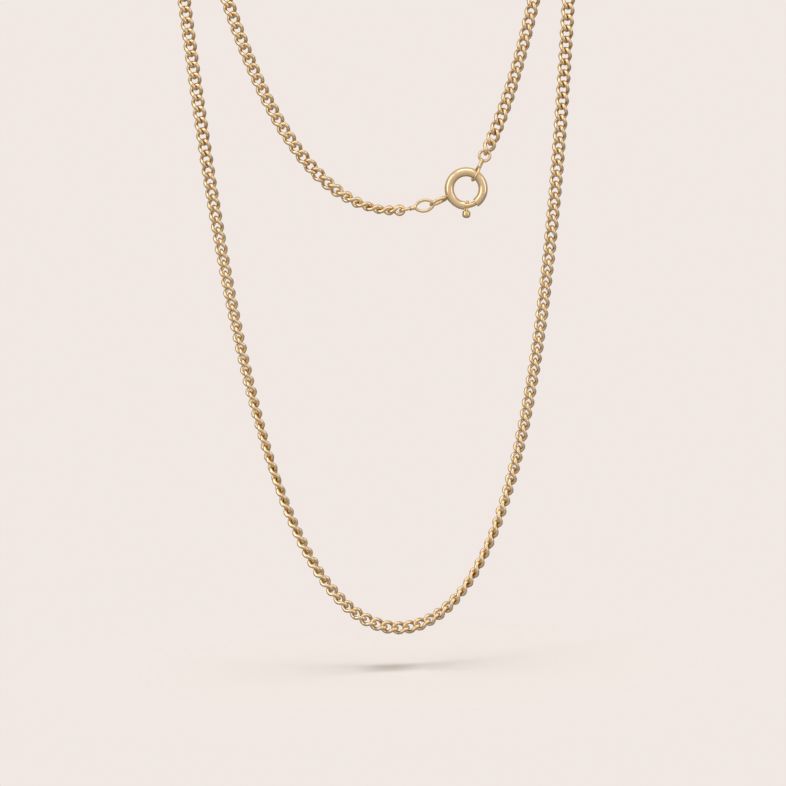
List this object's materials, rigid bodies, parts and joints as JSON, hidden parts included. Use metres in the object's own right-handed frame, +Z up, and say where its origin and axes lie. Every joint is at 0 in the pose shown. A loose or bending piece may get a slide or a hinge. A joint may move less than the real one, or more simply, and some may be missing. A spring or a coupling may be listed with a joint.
{
  "type": "chain necklace",
  "caption": "Fine gold curb-chain necklace closed with a spring-ring clasp, hanging in a long and a short drape over a rod.",
  "frame": {"origin": "on the axis of the rod that the necklace hangs over, midway between the two places where the long drape leaves it", "axes": "+X along the rod, to the right as seen from the long drape's side, +Y from the long drape to the short one, +Z up"},
  "size_m": [0.0666, 0.0146, 0.135],
  "materials": {
    "gold": "polished pale yellow gold",
    "spring_steel": "drawn wire"
  },
  "bodies": {
    "crowns": {"crown_left": "gold", "crown_right": "gold"},
    "front_tier_1": {"front_left_1": "gold", "front_right_1": "gold"},
    "front_tier_2": {"front_left_2": "gold", "front_right_2": "gold"},
    "front_tier_3": {"front_left_3": "gold", "front_right_3": "gold"},
    "front_tier_4": {"front_left_4": "gold", "front_right_4": "gold"},
    "front_tier_5": {"front_left_5": "gold", "front_right_5": "gold"},
    "front_tier_6": {"front_left_6": "gold", "front_right_6": "gold"},
    "front_tier_7": {"front_left_7": "gold", "front_right_7": "gold"},
    "front_tier_8": {"front_left_8": "gold", "front_right_8": "gold"},
    "front_bottom": {"front_bottom_left": "gold", "front_bottom_middle": "gold", "front_bottom_right": "gold"},
    "back_tier_1": {"back_left_1": "gold", "back_right_1": "gold"},
    "back_tier_2": {"back_left_2": "gold", "back_right_2": "gold"},
    "back_tier_3": {"back_left_3": "gold", "back_right_3": "gold"},
    "back_bottom": {"back_left_4": "gold", "back_left_5": "gold", "end_link_left": "gold", "end_link_right": "gold", "back_right_4": "gold"},
    "tag_left_body": {"tag_left": "gold"},
    "tag_right_body": {"tag_right": "gold"},
    "clasp": {"clasp_ring": "gold", "clasp_eyelet": "gold", "clasp_spring": "spring_steel"},
    "bolt": {"clasp_bolt": "gold", "clasp_trigger": "gold"}
  },
  "joints": [
    {"name": "front_bend_1", "type": "hinge", "parent": "crowns", "child": "front_tier_1", "pos_m": [0, -0.00611, 0], "axis": [-1, 0, 0], "range_deg": [0, 25]},
    {"name": "front_bend_2", "type": "hinge", "parent": "front_tier_1", "child": "front_tier_2", "pos_m": [0, -0.00611, -0.01388], "axis": [-1, 0, 0], "range_deg": [-25, 25]},
    {"name": "front_bend_3", "type": "hinge", "parent": "front_tier_2", "child": "front_tier_3", "pos_m": [0, -0.00611, -0.02775], "axis": [-1, 0, 0], "range_deg": [-25, 25]},
    {"name": "front_bend_4", "type": "hinge", "parent": "front_tier_3", "child": "front_tier_4", "pos_m": [0, -0.00611, -0.04161], "axis": [-1, 0, 0], "range_deg": [-25, 25]},
    {"name": "front_bend_5", "type": "hinge", "parent": "front_tier_4", "child": "front_tier_5", "pos_m": [0, -0.00611, -0.05545], "axis": [-1, 0, 0], "range_deg": [-25, 25]},
    {"name": "front_bend_6", "type": "hinge", "parent": "front_tier_5", "child": "front_tier_6", "pos_m": [0, -0.00611, -0.06925], "axis": [-1, 0, 0], "range_deg": [-25, 25]},
    {"name": "front_bend_7", "type": "hinge", "parent": "front_tier_6", "child": "front_tier_7", "pos_m": [0, -0.00611, -0.08299], "axis": [-1, 0, 0], "range_deg": [-25, 25]},
    {"name": "front_bend_8", "type": "hinge", "parent": "front_tier_7", "child": "front_tier_8", "pos_m": [0, -0.00611, -0.09661], "axis": [-1, 0, 0], "range_deg": [-25, 25]},
    {"name": "front_bend_9", "type": "hinge", "parent": "front_tier_8", "child": "front_bottom", "pos_m": [0, -0.00611, -0.10992], "axis": [-1, 0, 0], "range_deg": [-25, 25]},
    {"name": "back_bend_1", "type": "hinge", "parent": "crowns", "child": "back_tier_1", "pos_m": [0.00044, 0.00611, 0], "axis": [1, 0, 0], "range_deg": [0, 25]},
    {"name": "back_bend_2", "type": "hinge", "parent": "back_tier_1", "child": "back_tier_2", "pos_m": [0.00056, 0.00611, -0.01369], "axis": [1, 0, -0.0008], "range_deg": [-25, 25]},
    {"name": "back_bend_3", "type": "hinge", "parent": "back_tier_2", "child": "back_tier_3", "pos_m": [0.00075, 0.00611, -0.02725], "axis": [1, 0, -0.0027], "range_deg": [-25, 25]},
    {"name": "back_bend_4", "type": "hinge", "parent": "back_tier_3", "child": "back_bottom", "pos_m": [0.00106, 0.00611, -0.04055], "axis": [1, 0, -0.0079], "range_deg": [-25, 25]},
    {"name": "tag_left_turn", "type": "hinge", "parent": "back_bottom", "child": "tag_left_body", "pos_m": [0.00265, 0.00611, -0.06221], "axis": [0.9871, 0, 0.1604], "range_deg": [-20, 20]},
    {"name": "tag_right_turn", "type": "hinge", "parent": "back_bottom", "child": "tag_right_body", "pos_m": [0.01631, 0.00611, -0.0536], "axis": [0.4744, 0, 0.8803], "range_deg": [-20, 20]},
    {"name": "clasp_turn", "type": "hinge", "parent": "back_bottom", "child": "clasp", "pos_m": [0.00747, 0.00611, -0.06143], "axis": [0.871, 0, 0.4912], "range_deg": [-15, 15]},
    {"name": "trigger_pull", "type": "hinge", "parent": "clasp", "child": "bolt", "pos_m": [0.01292, 0.00611, -0.05922], "axis": [0, 1, 0], "range_deg": [0, 44], "stiffness_Nm_per_rad": 0.004, "springref_deg": -14.32, "deforming": ["clasp_spring"]}
  ]
}
